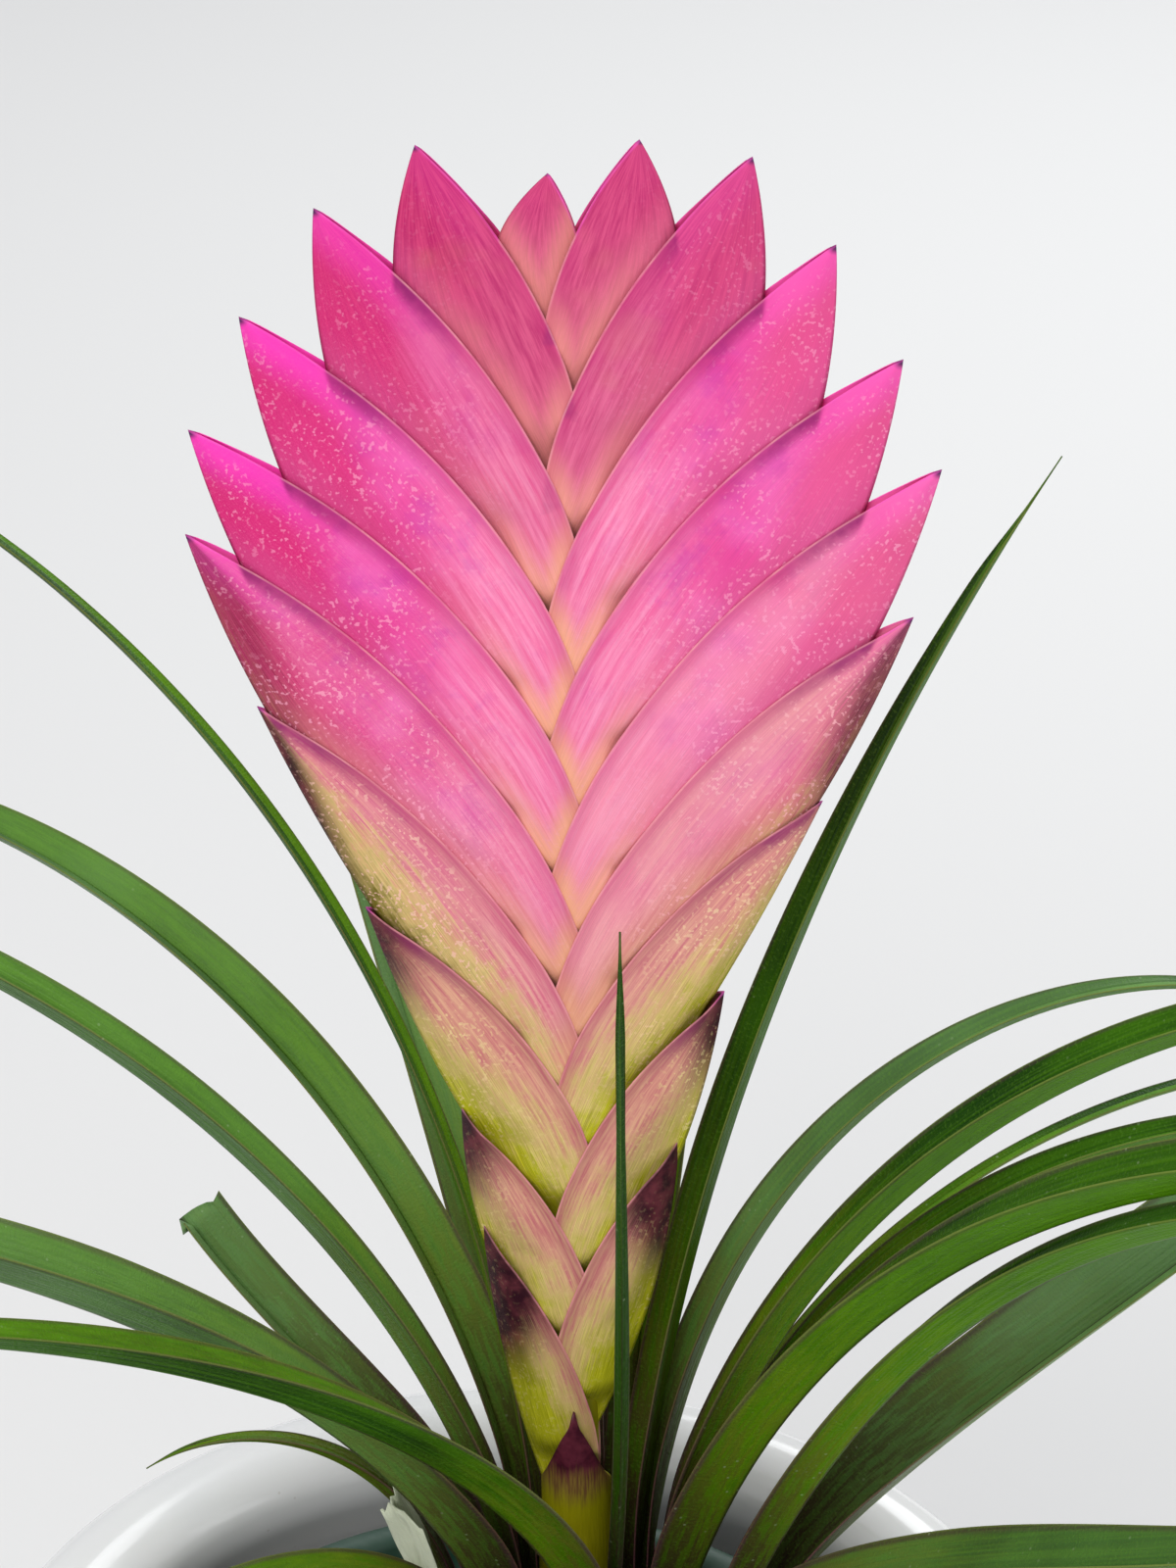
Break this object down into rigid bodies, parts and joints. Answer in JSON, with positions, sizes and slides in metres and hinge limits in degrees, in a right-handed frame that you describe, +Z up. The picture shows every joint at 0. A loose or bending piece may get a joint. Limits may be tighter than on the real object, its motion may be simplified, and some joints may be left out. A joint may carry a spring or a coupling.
{
  "type": "flowering pink quill in a pot",
  "caption": "Flowering pink quill: a flat head of folded pink bracts in two ranks on a short stalk over a rosette of narrow arching channelled leaves, potted in a white cover pot.",
  "frame": {"origin": "centre of the cover pot's flat foot, on the surface it stands on", "axes": "+Z up the pot's axis; the flat flower head lies in the XZ plane and shows its face towards -Y"},
  "size_m": [0.2538, 0.2741, 0.2692],
  "materials": {
    "white_glaze": "smooth white glaze, softly glossy",
    "pot_plastic": "thin moulded plastic, satin",
    "bark_mix": "loose damp bark and peat, dull",
    "stem_tissue": "fibrous plant stem, dull",
    "green_leaf": "tough leaf skin, satin, with a grey sheen",
    "dry_leaf": "papery dry leaf, dull",
    "sheath_bract": "smooth waxy bract, satin",
    "pink_bract": "smooth waxy bract, satin"
  },
  "bodies": {
    "root": {"cover_pot": "white_glaze", "nursery_pot": "pot_plastic", "growing_mix": "bark_mix", "crown_stem": "stem_tissue", "leaf_front_quill": "green_leaf", "leaf_right_quill": "green_leaf", "leaf_left_quill": "green_leaf", "leaf_back_quill": "green_leaf", "leaf_right_back": "green_leaf", "leaf_back_high": "green_leaf", "leaf_left_high": "green_leaf", "leaf_left_back": "green_leaf", "leaf_right_long": "green_leaf", "leaf_back_left": "green_leaf", "leaf_right_front": "green_leaf", "leaf_right_mid": "green_leaf", "leaf_left_front": "green_leaf", "leaf_right_thin": "green_leaf", "leaf_left_cut": "green_leaf", "leaf_back_right": "green_leaf", "leaf_front_left": "green_leaf", "leaf_right_under": "green_leaf", "leaf_back_low": "green_leaf", "leaf_right_broad": "green_leaf", "leaf_left_small": "green_leaf", "leaf_right_low": "green_leaf", "leaf_front_a": "green_leaf", "leaf_front_b": "green_leaf", "leaf_front_c": "green_leaf", "leaf_front_d": "green_leaf", "dry_leaf_base": "dry_leaf", "scape": "sheath_bract", "flower_head": "pink_bract"}
  },
  "joints": []
}
